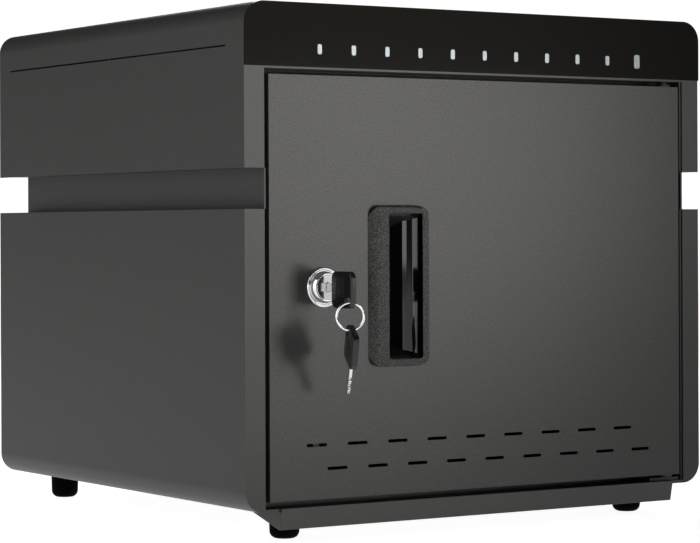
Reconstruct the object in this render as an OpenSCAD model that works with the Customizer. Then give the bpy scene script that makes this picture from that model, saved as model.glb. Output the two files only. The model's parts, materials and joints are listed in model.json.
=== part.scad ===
// Desktop charging locker for phones: a sheet-steel cabinet with ten bays, a hinged door with a
// recessed pull, a key-operated two-point lock and a row of indicator windows.
// Millimetres. X runs to the right, Y into the cabinet, Z up from the table it stands on.
// The pieces are drawn with y = 0 on the cabinet's front plane; seat() then centres them.

/* [Cabinet shell] */
// Overall width of the shell
body_w = 350; // [335:1:380]
// Depth of the shell from its front plane to its back edge
body_d = 338; // [320:1:380]
// Height of the shell without the feet
body_h = 305.5; // [300:0.5:330]
// Radius of the four long corners
corner_r = 13; // [8:0.5:16]
// Thickness of the sheet steel
sheet = 1.2; // [0.9:0.1:1.5]
// Width of the front strip beside the door opening
strip_w = 13.5; // [11:0.5:18]
// Height of the front band under the door opening
band_h = 2; // [1.8:0.1:3]
// Height of the groove along each side
groove_h = 24.6; // [16:0.2:32]
// Height of the groove's lower edge above the shell's bottom
groove_rise = 181.3; // [150:0.1:200]
// Distance of the rear panel in front of the shell's back edge
rear_inset = 16.5; // [10:0.5:24]
// Height of the narrow slot along each upper side
side_slot_h = 1; // [0.8:0.1:2]
// Distance of that slot below the shell's top
side_slot_drop = 26.4; // [20:0.1:34]
// Distance of the slot's front end behind the front plane
side_slot_front = 22; // [16:1:40]
// Bridge of steel left in the middle of the slot
side_slot_bridge = 1.4; // [1:0.1:4]

/* [Fascia and windows] */
// Height of the black fascia
fascia_h = 38.8; // [36:0.1:44]
// Thickness of the fascia, all of it proud of the front plane
fascia_t = 1.2; // [1:0.1:2]
// Height of the steel strip between fascia and door opening
top_band = 1.2; // [1.2:0.1:3]
// Distance of the first window's centre from the shell's left side
window_inset = 52.5; // [48:0.5:60]
// Width of a small window
window_w = 3; // [2.6:0.1:4]
// Height of a small window
window_h = 6; // [4:0.1:8]
// Width of the large power window
power_window_w = 4.5; // [3.6:0.1:6]
// Height of the large power window
power_window_h = 8.8; // [6:0.1:11]
// Height of the windows' centres above the fascia's lower edge
window_rise = 11; // [9:0.1:14]

/* [Door] */
// Gap between door and opening at each side
door_gap_side = 3.5; // [3:0.1:4.5]
// Gap above the door
door_gap_top = 3.5; // [2.5:0.1:4]
// Gap under the door
door_gap_bottom = 4; // [3.6:0.1:5]
// Depth of the folded door pan
door_depth = 15; // [12:0.5:16]
// Width of the pan's inner return flange
door_return = 9; // [6:0.5:12]
// Distance of the hinge axis from the door's hinge edge
pivot_inset = 8; // [7.5:0.1:12]
// Distance of the hinge axis behind the front plane
pivot_back = 5.2; // [5.2:0.1:5.6]
// Radius of the pivot pins
pivot_r = 2.5; // [2:0.1:2.6]
// Length of one vent slot
vent_len = 14.5; // [10:0.5:18]
// Height of one vent slot
vent_h = 2; // [1.6:0.1:3]
// Distance between vent slots in a row
vent_pitch = 29.4; // [26:0.1:30]
// Number of vent slots in each row
vent_count = 9; // [5:1:9]
// Height of the upper vent row above the door's lower edge
vent_rise = 32.8; // [26:0.1:40]
// Distance between the two vent rows
vent_row_gap = 14.5; // [8:0.5:16]
// Distance of the first upper vent's centre from the door's free edge
vent_inset = 33; // [28:0.5:36]

/* [Recessed pull] */
// Distance of the pull from the door's free edge
pull_inset = 70.2; // [66:0.1:80]
// Width of the pull's flange
pull_w = 43.3; // [40:0.1:48]
// Height of the pull's flange
pull_h = 98.8; // [80:0.1:120]
// How far the flange stands proud of the door
pull_proud = 4.5; // [3.5:0.1:6]
// Corner radius of the flange
pull_r = 9; // [5:0.5:10]
// Width of the grip on the free-edge side
grip_w = 12.8; // [11:0.1:15]
// Width of the flange on the hinge side
pull_rim = 5.5; // [4.5:0.1:7]
// Height of the flange above and below the mouth
pull_end_rim = 4.3; // [3.5:0.1:7]
// Depth of the pocket behind the front plane
pocket_d = 20; // [16:0.5:21]
// Radius of the flange's roll on the grip's side
roll_r = 9; // [5:0.5:12]
// Radius of the flange's other edges
edge_r = 2.2; // [1:0.1:2.5]
// Width of the hollow ramp between the rim and the pocket's deep part
ramp_w = 8; // [6:0.5:12]
// Depth of the ramp's inner edge behind the front plane
ramp_d = 6.5; // [4:0.5:10]
// Radius of the ramp's hollow
ramp_r = 18; // [12:1:40]
// Wall of the moulding
pull_wall = 1.8; // [1.2:0.1:2.4]
// Corner radius of the mouth
mouth_r = 2; // [1:0.1:4]

/* [Lock and keys] */
// Distance of the lock axis from the door's free edge
lock_inset = 38; // [34:0.5:42]
// Diameter of the rosette
rosette_d = 24.4; // [22:0.1:27]
// How far the lock face stands proud of the door
lock_proud = 5; // [4:0.1:6]
// Radius of the threaded barrel
barrel_r = 9; // [8.6:0.1:9.5]
// Length of the barrel behind the front plane
barrel_len = 18; // [16:0.5:19]
// Radius of the plug
plug_r = 6; // [5.5:0.1:6.5]
// Radius of the circle that the cam's two drive pins turn on
throw_r = 8; // [7.5:0.1:8.6]
// Radius of a drive pin
drive_r = 2; // [1.6:0.1:2.2]
// Width of a locking bar
bar_w = 11; // [9:0.5:12]
// Thickness of a locking bar
bar_t = 2; // [1.5:0.1:2.4]
// Size of the key's square plastic head
head_size = 22; // [20:0.5:24]
// Thickness of the key's head
head_t = 3.9; // [3.2:0.1:4.4]
// Radius of the hole in the key's head
head_hole_r = 2.9; // [2.4:0.1:3]
// Length of metal key between head and tip
blade_len = 20; // [18:0.5:22]
// Width of the key blade
blade_w = 5.4; // [4.8:0.1:6]
// Thickness of the key blade
blade_t = 1.8; // [1.4:0.1:2]
// Metal left bare between the lock face and the inserted key's head
key_neck = 7; // [4:0.5:9]
// Outer diameter of the key ring
ring_d = 17.6; // [16:0.1:24]
// Diameter of the ring's wire
ring_wire = 1.3; // [1.1:0.1:1.5]
// Turn of the ring about the vertical, away from the door's plane
ring_turn = 32.8; // [25:0.1:36]
// Turn of the hanging spare key about the vertical
spare_turn = 20.3; // [15:0.1:28]
// Tilt of the hanging spare key in its own plane
spare_tilt = 24; // [15:0.5:30]

/* [Inside] */
// Height of the raised bay floor above the shell's bottom
floor_rise = 10; // [9:0.5:14]
// Height between the bay ceiling and the top of the door opening
ceiling_drop = 8.5; // [7:0.5:12]
// Distance of floor and ceiling behind the front plane
bay_front = 20; // [19:0.5:22]
// Thickness of a bay divider
divider_t = 1.5; // [1:0.1:2.5]
// Height of a bay divider
divider_h = 160; // [120:1:190]
// Distance of the dividers' front edge behind the front plane
divider_front = 46; // [40:1:70]
// Distance of the dividers' back edge in front of the rear panel
divider_back = 40; // [30:1:60]
// Radius of the finger notch in a divider's upper front corner
notch_r = 55; // [30:1:70]

/* [Feet and anchoring] */
// Height of a rubber foot
foot_h = 19; // [15:0.5:24]
// Diameter of a foot at the shell
foot_d = 19.2; // [16:0.1:24]
// Distance of the feet from each side of the shell
foot_side = 42; // [30:1:60]
// Distance of the front feet behind the front plane
foot_front = 25; // [22:1:40]
// Distance of the rear feet from the back edge
foot_back = 15; // [14:1:40]
// Height of the sill under the door
sill_h = 13.1; // [11:0.1:15]
// Distance of the sill's ends from the shell's sides
sill_inset = 24; // [20:0.5:30]
// Radius of the two anchor holes through the bottom
anchor_r = 4; // [3:0.5:6]

/* [Hidden] */
$fn = 48;
cut = 0.5;            // how far a cutter runs past the face it opens
seat_gap = 0.02;      // radial play of pieces that are pressed together
run_gap = 0.06;       // radial play of pieces that turn in each other
loose = 0.3;          // clearance between pieces that move past each other
fit = 0.1;            // play of a flat piece in its cut-out
bay_count = 10;       // bays, each with a small window; NODES names the dividers between them

shell_z0 = foot_h;
shell_z1 = shell_z0 + body_h;
inner_w = body_w - 2 * sheet;
opening_x = body_w / 2 - strip_w;
opening_z0 = shell_z0 + band_h;
fascia_z0 = shell_z1 - fascia_h;
opening_z1 = fascia_z0 - top_band;
groove_z0 = shell_z0 + groove_rise;
groove_z1 = groove_z0 + groove_h;
liner_x = opening_x - 0.1;
liner_in = liner_x - sheet;
rear_y = body_d - rear_inset;
rear_in = rear_y - sheet;
floor_z = shell_z0 + floor_rise;
bay_z0 = floor_z + sheet;
ceiling_z = opening_z1 - ceiling_drop;
tray_z = ceiling_z + sheet;
side_slot_z = shell_z1 - side_slot_drop;

door_x = opening_x - door_gap_side;
door_z0 = opening_z0 + door_gap_bottom;
door_z1 = opening_z1 - door_gap_top;
door_mid = (door_z0 + door_z1) / 2;
pivot_x = door_x - pivot_inset;
bush_r = pivot_r + 1.3;
bush_flange_r = pivot_r + 2.1;
bush_flange_t = 1.5;
bush_len = 11;
bracket_t = 3;
pin_reach = 12;

window_z = fascia_z0 + window_rise;
window_pitch = (body_w - 2 * window_inset) / bay_count;
power_x = window_pitch * bay_count / 2;
board_y = 6;
board_t = 1.6;
board_h = 20;
board_w = window_pitch * bay_count + 18;

lock_x = -door_x + lock_inset;
cam_y = barrel_len + loose;
cam_t = 2.4;
bar_y = cam_y + cam_t + 4.3;
bar_travel = 2 * throw_r * sin(45);
bar_hole_w = bar_w + 5;
bar_hole_d = bar_t + 4;
flat_x = barrel_r - 1.2;

pull_x0 = -door_x + pull_inset;
pull_x1 = pull_x0 + pull_w;
pull_z0 = door_mid - pull_h / 2;
mouth_x0 = pull_x0 + grip_w;
mouth_x1 = pull_x1 - pull_rim;
mouth_z0 = pull_z0 + pull_end_rim;
mouth_h = pull_h - 2 * pull_end_rim;
lip_t = 3;            // thickness of the grip over the undercut
lap = 2.2;            // how far the pull's flange covers the skin round its cut-out

bay_pitch = 2 * liner_in / bay_count;
divider_y1 = rear_in - divider_back;
tab_len = 15;         // each divider stands in the floor on two tabs of this length
tab_y = [divider_front + 2 * tab_len, divider_y1 - 3 * tab_len];

// Electronics: power supply and charging board on the bay ceiling, sockets hanging through it
psu_w = 150;
psu_d = 92;
psu_h = 32;
port_w = 9;
port_gap = 3.2;
strip_h = 16;
strip_d = 14;
strip_y = rear_in - 26;
strip_len = (bay_count - 1) * bay_pitch + 22;
strip_z = ceiling_z - 6;
charge_d = 40;
psu_y = strip_y - charge_d - 12 - psu_d;

// Mains inlet and switch in the rear panel
inlet_side = 57;      // from the shell's side to the inlet's middle, and switch_step on to the switch's
switch_step = 52;
inlet_x = inlet_side - body_w / 2;
switch_x = inlet_x + switch_step;
socket_z = (tray_z + shell_z1) / 2;
inlet_w = 27.2;
inlet_h = 19.8;
inlet_ear = 20;
inlet_flange_t = 2.5;
inlet_body_d = 22;    // depth of the inlet behind the rear panel's inner face
inlet_mouth_d = 14;   // depth of its mouth, whose blades end mouth_face short of the panel
mouth_face = 2;
switch_w = 19.2;
switch_h = 13;
switch_body_d = 14;
switch_mouth_d = 8;
switch_flange_t = 1.8;
rocker_tilt = 9;
m3 = 1.5;             // radius of the small screws and studs
rear_flange = 13;     // height of the ceiling's rear flange above the ceiling

sill_z0 = opening_z0 + 0.1 - sill_h;
sill_proud = 2;       // how far the sill's upper edge stands in front of the shell
sill_foot = 0.7;      // how far its lower edge lies behind the front plane

anchor_x = bay_pitch * 2.5;
foot_screw_r = 2;
foot_head_r = 3.2;
foot_head_t = 2.4;
foot_recess_r = 3.7;
foot_nut_r = 4;
foot_nut_t = 3.2;
foot_base = 5;        // rubber left between the screw's head and the shell

bracket_w = 24;
lower_pin_z = shell_z0 + sheet;
upper_pin_z = opening_z1 + sheet + bracket_t;

face_r = plug_r + 1.6;
face_t = 1.2;
rim_r = 0.9;          // radius of the bead round the rosette's edge
cone_r = rosette_d / 2 - 2 * rim_r - 0.5;
nut_r = 14;           // radius of the lock nut over its corners
nut_t = 4;
tail = 6;             // square end of the plug that turns the cam
tip_gap = 2.2;        // how far a locking bar stops short of its hole when unlocked

head_y = -lock_proud - key_neck;
head_r = 4.5;
hole_in = 4;          // hole centre to the two outer edges of the key's head
ring_r = (ring_d - ring_wire) / 2;
hang = 0.6;           // how far the ring's wire sits below the centre of the hole it hangs in
ring_top_y = head_y - head_size + hole_in;
ring_top_z = door_mid - head_size / 2 + hole_in - 1.2;
ring_mid_z = ring_top_z - hang - ring_r;
spare_hole_z = ring_mid_z - ring_r - hang;
head_corner = head_size - hole_in - head_r;
spare_reach = (hole_in - head_r) * sin(spare_tilt) + head_corner * cos(spare_tilt) + head_r;
front_reach = -ring_top_y + spare_reach * cos(spare_turn) + head_t / 2 * sin(spare_turn);
front_y = (front_reach - body_d) / 2;

steel = [0.25, 0.25, 0.24];
inner_steel = [0.31, 0.31, 0.31];
black = [0.07, 0.07, 0.07];
chrome = [0.8, 0.81, 0.83];
zinc = [0.62, 0.63, 0.65];

// ---- helpers ----------------------------------------------------------------------------

// Moves a piece from the drawing frame to the part's frame, whose origin is under its middle.
module seat() {
    translate([0, front_y, 0]) children();
}

// A profile drawn in X and Z, run along Y from y0 over len.
module along_y(y0, len) {
    translate([0, y0 + len, 0]) rotate([90, 0, 0]) linear_extrude(len) children();
}

// A profile drawn in Y and Z, run along X from x0 over len.
module along_x(x0, len) {
    translate([x0, 0, 0]) rotate([90, 0, 90]) linear_extrude(len) children();
}

// A cylinder along Y from y0 over len, with its axis at (x, z).
module rod_y(x, z, y0, len, r) {
    translate([x, y0 + len, z]) rotate([90, 0, 0]) cylinder(r = r, h = len);
}

// A box between two corners.
module block(from, to) {
    translate(from) cube(to - from);
}

// A rectangle with round corners, centred on x, standing on y = 0.
module rounded_rect(w, h, r) {
    translate([-w / 2, r]) square([w, h - 2 * r]);
    translate([-w / 2 + r, 0]) square([w - 2 * r, h]);
    for (x = [-w / 2 + r, w / 2 - r], z = [r, h - r])
        translate([x, z]) circle(r);
}

// A slot with round ends, centred on the origin.
module slot(len, h) {
    square([len - h, h], center = true);
    for (x = [-1, 1]) translate([x * (len - h) / 2, 0]) circle(h / 2);
}

// A rectangular pattern of slots in the XZ plane, centred on (x, z).
module slot_grid(x, z, columns, rows, pitch_x, pitch_z, len, h) {
    for (i = [0 : columns - 1], k = [0 : rows - 1])
        translate([x + (i - (columns - 1) / 2) * pitch_x, z + (k - (rows - 1) / 2) * pitch_z])
            slot(len, h);
}

// ---- cabinet shell ----------------------------------------------------------------------

// The closed wrap that both covers are cut from: four sides and a front face.
module shell_wrap() {
    difference() {
        translate([0, 0, shell_z0]) along_y(0, body_d) rounded_rect(body_w, body_h, corner_r);
        translate([0, 0, shell_z0 + sheet])
            along_y(sheet, body_d) rounded_rect(inner_w, body_h - 2 * sheet, corner_r - sheet);
    }
}

module door_opening() {
    block([-opening_x, -cut, opening_z0], [opening_x, sheet + cut, opening_z1]);
}

// The two long slots in an upper side, parted by a short bridge.
module side_slots() {
    mid = (side_slot_front + rear_y) / 2;
    half = side_slot_bridge / 2;
    for (y = [[side_slot_front, mid - half], [mid + half, rear_y - sheet]])
        block([-body_w / 2 - cut, y[0], side_slot_z], [body_w / 2 + cut, y[1], side_slot_z + side_slot_h]);
}

// The flange that closes a cover against the liner along the groove.
module groove_flange(z) {
    for (side = [0, 1]) mirror([side, 0, 0])
        block([liner_x, 0, z], [body_w / 2 - sheet / 2, rear_y, z + sheet]);
}

module window_row(w, h, play) {
    for (i = [0 : bay_count - 1])
        translate([i * window_pitch - power_x, window_z - h / 2 - play])
            rounded_rect(w + 2 * play, h + 2 * play, w / 3);
}

module power_opening(play) {
    translate([power_x, window_z - power_window_h / 2 - play])
        rounded_rect(power_window_w + 2 * play, power_window_h + 2 * play, power_window_w / 3);
}

module window_holes(y0, len) {
    along_y(y0, len) window_row(window_w, window_h, fit);
    along_y(y0, len) power_opening(fit);
}

// The header that roofs the recess above the door, with a hole for the upper pivot pin.
module header() {
    difference() {
        block([-liner_in + 0.1, sheet / 2, opening_z1], [liner_in - 0.1, bay_front, opening_z1 + sheet]);
        translate([pivot_x, pivot_back, opening_z1 - cut])
            cylinder(r = pivot_r + loose / 2, h = sheet + 2 * cut);
    }
}

module upper_cover() color(steel) seat() {
    difference() {
        shell_wrap();
        block([-body_w, -cut, 0], [body_w, body_d + cut, groove_z1]);
        door_opening();
        side_slots();
        window_holes(-cut, sheet + 2 * cut);
    }
    groove_flange(groove_z1);
    header();
}

module anchor_holes(z0, z1) {
    for (x = [-anchor_x, anchor_x])
        translate([x, body_d / 2, z0]) cylinder(r = anchor_r, h = z1 - z0);
}

module foot_spots() {
    for (x = [-1, 1], y = [foot_front, body_d - foot_back])
        translate([x * (body_w / 2 - foot_side), y, 0]) children();
}

module lower_cover() color(steel) seat() {
    difference() {
        shell_wrap();
        block([-body_w, -cut, groove_z0], [body_w, body_d + cut, shell_z1 + cut]);
        door_opening();
        anchor_holes(shell_z0 - cut, shell_z0 + sheet + cut);
        foot_spots() translate([0, 0, shell_z0 - cut])
            cylinder(r = foot_screw_r + seat_gap, h = sheet + 2 * cut);
    }
    groove_flange(groove_z0 - sheet);
}

// The inner side wall, which shows as the floor of the side groove.
module liner() {
    block([liner_in, sheet, shell_z0 + sheet], [liner_x, rear_in, shell_z1 - sheet]);
    block([liner_in, 0, groove_z0], [liner_x, sheet, groove_z1]);
}

module left_liner() color(steel) seat() mirror([1, 0, 0]) liner();

module right_liner() color(steel) seat() liner();

// Distance behind the front plane of the sill's leaning outer face, at a height.
function sill_y(z) = sill_foot - (sill_foot + sill_proud) * (z - sill_z0) / sill_h;

// A folded lip under the door: a leaning front, two tapering ends and a flange for the bottom.
module front_sill() color(steel) seat() {
    half = body_w / 2 - sill_inset;
    top = sill_z0 + sill_h;
    reach = foot_front + foot_d / 2 + 4;
    along_x(-half, 2 * half) polygon([
        [sill_y(top), top], [0, top], [0, top - sheet], [sill_y(top) + sheet, top - sheet],
        [sill_foot + sheet, sill_z0], [sill_foot, sill_z0]
    ]);
    for (x = [-half, half - sheet])
        along_x(x, sheet) polygon([
            [sill_y(shell_z0), shell_z0], [sill_foot, sill_z0], [sill_foot + sheet, sill_z0],
            [reach, shell_z0 - sheet], [reach, shell_z0]
        ]);
    block([-half, sill_y(shell_z0) + sheet / 2, shell_z0 - sheet],
          [half, foot_front - foot_d / 2 - 1, shell_z0]);
}

// ---- inner panels -----------------------------------------------------------------------

module bar_hole(z) {
    translate([lock_x - bar_hole_w / 2, bar_y + bar_t / 2 - bar_hole_d / 2, z - cut])
        cube([bar_hole_w, bar_hole_d, sheet + 2 * cut]);
}

module divider_tabs(play) {
    for (i = [1 : bay_count - 1], y = tab_y)
        translate([-liner_in + i * bay_pitch - divider_t / 2 - play, y - play, floor_z])
            cube([divider_t + 2 * play, tab_len + 2 * play, sheet + 2 * cut]);
}

module floor_panel() color(inner_steel) seat() difference() {
    union() {
        block([-liner_in, bay_front, floor_z], [liner_in, rear_in, bay_z0]);
        for (y = [bay_front, rear_in - sheet])
            block([-liner_in, y, shell_z0 + sheet], [liner_in, y + sheet, bay_z0]);
    }
    bar_hole(floor_z);
    translate([0, 0, -cut]) divider_tabs(fit);
    anchor_holes(floor_z - cut, bay_z0 + cut);
    rear_screw_spots() rod_y(0, 0, rear_in - 3, 4, m3 + seat_gap);
    foot_notches(rear_in - 3);
}

// Notches in the lower edge that clear the rear feet's nuts.
module foot_notches(y0) {
    half = foot_nut_r + 1;
    for (x = [-1, 1]) translate([x * (body_w / 2 - foot_side) - half, y0, shell_z0])
        cube([2 * half, 6, sheet + foot_nut_t + 1.3]);
}

module port_cutout(play) {
    block([-strip_len / 2 - play, strip_y - play, ceiling_z - cut],
          [strip_len / 2 + play, strip_y + strip_d + play, tray_z + cut]);
}

module ceiling_panel() color(inner_steel) seat() difference() {
    union() {
        block([-liner_in, bay_front, ceiling_z], [liner_in, rear_in, tray_z]);
        block([-liner_in, bay_front, ceiling_z], [liner_in, bay_front + sheet, opening_z1 + sheet]);
        block([-liner_in, rear_in - sheet, ceiling_z], [liner_in, rear_in, tray_z + rear_flange]);
    }
    bar_hole(ceiling_z);
    port_cutout(fit);
    rear_screw_spots() rod_y(0, 0, rear_in - 3, 4, m3 + seat_gap);
}

module rear_outline() {
    difference() {
        translate([0, shell_z0 + sheet]) rounded_rect(inner_w, body_h - 2 * sheet, corner_r - sheet);
        for (side = [0, 1]) mirror([side, 0, 0])
            translate([liner_x, groove_z0 - sheet]) square([strip_w + 1, groove_h + 2 * sheet]);
    }
}

module rear_screw_spots() {
    for (x = [-liner_in + 9, 0, liner_in - 9], z = [floor_z - 4.4, tray_z + 8])
        translate([x, 0, z]) children();
}

// Cut-outs for the mains inlet, its two screws and the switch.
module rear_openings(y0, len) {
    along_y(y0, len) {
        translate([inlet_x - inlet_w / 2, socket_z - inlet_h / 2]) square([inlet_w, inlet_h]);
        translate([switch_x - switch_w / 2, socket_z - switch_h / 2]) square([switch_w, switch_h]);
        for (x = [-inlet_ear, inlet_ear]) translate([inlet_x + x, socket_z]) circle(m3 + seat_gap);
    }
}

module rear_panel() color(steel) seat() difference() {
    along_y(rear_in, sheet) rear_outline();
    along_y(rear_in - cut, sheet + 2 * cut) {
        slot_grid(0, bay_z0 + 30, 9, 5, 29.4, 9, 20, 3);
        slot_grid(0, ceiling_z - 34, 9, 5, 29.4, 9, 20, 3);
        slot_grid(power_x / 2 + 6, socket_z + 2, 4, 2, 29.4, 9, 20, 3);
    }
    rear_openings(rear_in - cut, sheet + 2 * cut);
    rear_screw_spots() rod_y(0, 0, rear_in - cut, 5, m3 + seat_gap);
    foot_notches(rear_in - cut);
}

// One phone bay's wall: a plate with a finger notch swept out of its upper front corner.
module bay_divider(i) {
    x = -liner_in + i * bay_pitch - divider_t / 2;
    depth = divider_y1 - divider_front;
    round_r = 12;
    color(inner_steel) seat() {
        along_x(x, divider_t) difference() {
            translate([divider_front, bay_z0]) square([depth, divider_h]);
            translate([divider_front, bay_z0 + divider_h]) circle(notch_r);
            translate([divider_y1 - round_r, bay_z0 + divider_h - round_r]) difference() {
                square(round_r + 1);
                circle(round_r);
            }
        }
        for (y = tab_y)
            block([x, y, floor_z + 0.2], [x + divider_t, y + tab_len, bay_z0 + cut]);
    }
}

// ---- fascia, windows and indicator board ------------------------------------------------

module fascia() color(black) seat() difference() {
    intersection() {
        translate([0, 0, shell_z0]) along_y(-fascia_t, fascia_t) rounded_rect(body_w, body_h, corner_r);
        block([-body_w, -body_d, fascia_z0], [body_w, body_d, shell_z1 + cut]);
    }
    window_holes(-fascia_t - cut, fascia_t + 2 * cut);
}

module bay_windows() color("white") seat()
    along_y(-fascia_t, fascia_t + board_y - 1.6) window_row(window_w, window_h, 0);

module power_window() color("white") seat()
    along_y(-fascia_t, fascia_t + board_y - 1.6) power_opening(0);

module standoff_spots() {
    for (x = [-1, 1], z = [-1, 1])
        translate([x * (board_w / 2 - 5), 0, window_z + z * (board_h / 2 - 3.5)]) children();
}

// The board behind the fascia, with one light source behind each window.
module indicator_board() color("darkgreen") seat() {
    difference() {
        block([-board_w / 2, board_y, window_z - board_h / 2],
              [board_w / 2, board_y + board_t, window_z + board_h / 2]);
        standoff_spots() rod_y(0, 0, board_y - cut, 4, 1.1 + seat_gap);
    }
    for (i = [0 : bay_count])
        block([i * window_pitch - power_x - 1.2, board_y - 1.3, window_z - 1.5],
              [i * window_pitch - power_x + 1.2, board_y, window_z + 1.5]);
}

module board_standoffs() color(zinc) seat() standoff_spots() {
    rod_y(0, 0, sheet, board_y - sheet, 2.4);
    rod_y(0, 0, board_y, board_t + 1, 1.1);
    rod_y(0, 0, board_y + board_t, 1, 2.2);
}

// ---- electronics above the bay ----------------------------------------------------------

// A supply in a steel case with rows of vents in its lid.
module power_supply() color("silver") seat() translate([-psu_w, psu_y, tray_z]) difference() {
    cube([psu_w, psu_d, psu_h]);
    translate([sheet, sheet, sheet]) cube([psu_w - 2 * sheet, psu_d - 2 * sheet, psu_h - 2 * sheet]);
    translate([psu_w / 2, psu_d / 2, psu_h - sheet - cut])
        linear_extrude(sheet + 2 * cut) slot_grid(0, 0, 5, 5, 26, 12, 18, 3);
}

function bay_mid(i) = -liner_in + (i + 0.5) * bay_pitch;

// The charging board on top of the socket strip, with one converter for each bay.
module charge_board() color("darkgreen") seat() {
    z = strip_z + strip_h;
    block([-strip_len / 2, strip_y - charge_d, z], [strip_len / 2, strip_y + strip_d, z + board_t]);
    for (i = [0 : bay_count - 1])
        block([bay_mid(i) - 6, strip_y - 30, z + board_t], [bay_mid(i) + 6, strip_y - 16, z + board_t + 7]);
}

// The strip of sockets that hangs through the ceiling over the back of the bays.
module port_strip() color(black) seat() difference() {
    block([-strip_len / 2, strip_y, strip_z], [strip_len / 2, strip_y + strip_d, strip_z + strip_h]);
    for (i = [0 : bay_count - 1])
        translate([bay_mid(i), strip_y + strip_d / 2, strip_z - cut])
            linear_extrude(9) slot(port_w, port_gap);
}

// ---- mains entry on the rear panel ------------------------------------------------------

module mains_inlet() color(black) seat() difference() {
    union() {
        along_y(rear_in - inlet_body_d, inlet_body_d + sheet + cut)
            translate([inlet_x - inlet_w / 2 + fit, socket_z - inlet_h / 2 + fit])
                square([inlet_w - 2 * fit, inlet_h - 2 * fit]);
        along_y(rear_y, inlet_flange_t) {
            translate([inlet_x - inlet_w / 2 - 1.4, socket_z - inlet_h / 2 - 2.1])
                square([inlet_w + 2.8, inlet_h + 4.2]);
            translate([inlet_x, socket_z]) slot(2 * inlet_ear + 10, 10);
        }
    }
    along_y(rear_y - inlet_mouth_d, inlet_mouth_d + inlet_flange_t + cut)
        translate([inlet_x, socket_z]) difference() {
            inlet_mouth();
            for (x = [-7, 0, 7]) translate([x - 1, -2.5]) square([2, 4]);
        }
    along_y(rear_y - mouth_face, mouth_face + inlet_flange_t + cut)
        translate([inlet_x, socket_z]) inlet_mouth();
    for (x = [-inlet_ear, inlet_ear]) rod_y(inlet_x + x, socket_z, rear_y - cut, 5, m3 + seat_gap);
}

// The inlet's mouth: a rectangle with its two upper corners cut off. Its three blades stand
// in it and stop short of the face.
module inlet_mouth() {
    w = inlet_w / 2 - 1.4;
    h = inlet_h / 2 - 1.7;
    corner = 4;
    polygon([[-w, -h], [w, -h], [w, h - corner], [w - corner, h], [corner - w, h], [-w, h - corner]]);
}

module inlet_screws() color(zinc) seat()
    for (x = [-inlet_ear, inlet_ear]) {
        rod_y(inlet_x + x, socket_z, rear_in - 4, 4 + sheet + inlet_flange_t, m3);
        rod_y(inlet_x + x, socket_z, rear_y + inlet_flange_t, 1.4, 2 * m3);
    }

module switch_frame() color(black) seat() difference() {
    union() {
        along_y(rear_in - switch_body_d, switch_body_d + sheet + cut)
            translate([switch_x - switch_w / 2 + fit, socket_z - switch_h / 2 + fit])
                square([switch_w - 2 * fit, switch_h - 2 * fit]);
        along_y(rear_y, switch_flange_t)
            translate([switch_x, socket_z - switch_h / 2 - 1.5])
                rounded_rect(switch_w + 3, switch_h + 3, 1.5);
    }
    along_y(rear_y - switch_mouth_d, switch_mouth_d + switch_flange_t + cut)
        translate([switch_x - switch_w / 2 + 1.2, socket_z - switch_h / 2 + 1.2])
            square([switch_w - 2.4, switch_h - 2.4]);
    axle_hole();
}

module axle_hole() {
    translate([switch_x, rear_y - 1.5, socket_z - switch_h / 2 + 0.4])
        cylinder(r = 1 + run_gap, h = switch_h - 0.8);
}

// The rocker: a wedge with two sloping faces on a short axle, drawn with its OFF side pressed.
module switch_rocker() color([0.12, 0.12, 0.12]) seat()
    translate([switch_x, rear_y - 1.5, 0]) rotate([0, 0, rocker_tilt]) {
        translate([0, 0, socket_z - switch_h / 2 + 1.5]) linear_extrude(switch_h - 3)
            polygon([
                [-7.6, 1.6], [0, 2.6], [7.6, 1.6], [6.8, -1.2], [2.5, -4.5], [-2.5, -4.5], [-6.8, -1.2]
            ]);
        translate([0, 0, socket_z - switch_h / 2 + 0.6]) cylinder(r = 1, h = switch_h - 1.2);
    }

// ---- feet and fasteners -----------------------------------------------------------------

// A rubber foot: a drum that narrows to a rounded tread, with a recess for its screw.
module feet() color(black) seat() foot_spots() difference() {
    rotate_extrude() {
        tread = foot_d / 2 - 0.4;
        round_r = 4.6;
        polygon([
            [0, 0], [tread - round_r, 0], [tread - round_r, round_r], [tread, round_r],
            [foot_d / 2, foot_h], [0, foot_h]
        ]);
        translate([tread - round_r, round_r]) circle(round_r);
    }
    translate([0, 0, -cut]) cylinder(r = foot_recess_r, h = foot_h - foot_base + cut);
    cylinder(r = foot_screw_r + seat_gap, h = foot_h + cut);
}

module foot_screws() color(zinc) seat() foot_spots() {
    translate([0, 0, foot_h - foot_base - foot_head_t]) cylinder(r = foot_head_r, h = foot_head_t);
    translate([0, 0, foot_h - foot_base]) cylinder(r = foot_screw_r, h = foot_base + sheet + 4);
}

module foot_nuts() color(zinc) seat() foot_spots() translate([0, 0, shell_z0 + sheet])
    difference() {
        cylinder(r = foot_nut_r, h = foot_nut_t, $fn = 6);
        translate([0, 0, -cut]) cylinder(r = foot_screw_r + seat_gap, h = foot_nut_t + 2 * cut);
    }

module rear_screws() color(zinc) seat() rear_screw_spots() {
    rod_y(0, 0, rear_in - 5, 5 + sheet, m3);
    rod_y(0, 0, rear_y, 1.8, 2 * m3);
}

// ---- door pivots ------------------------------------------------------------------------

module bracket_plate(z) {
    difference() {
        block([pivot_x + pivot_inset - bracket_w, sheet + fit, z],
              [pivot_x + pivot_inset, bay_front - fit, z + bracket_t]);
        translate([pivot_x, pivot_back, z - cut]) cylinder(r = pivot_r + seat_gap, h = bracket_t + 2 * cut);
        bracket_stud_spots() translate([0, 0, z - cut])
            cylinder(r = m3 + seat_gap, h = bracket_t + 2 * cut);
    }
}

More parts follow.
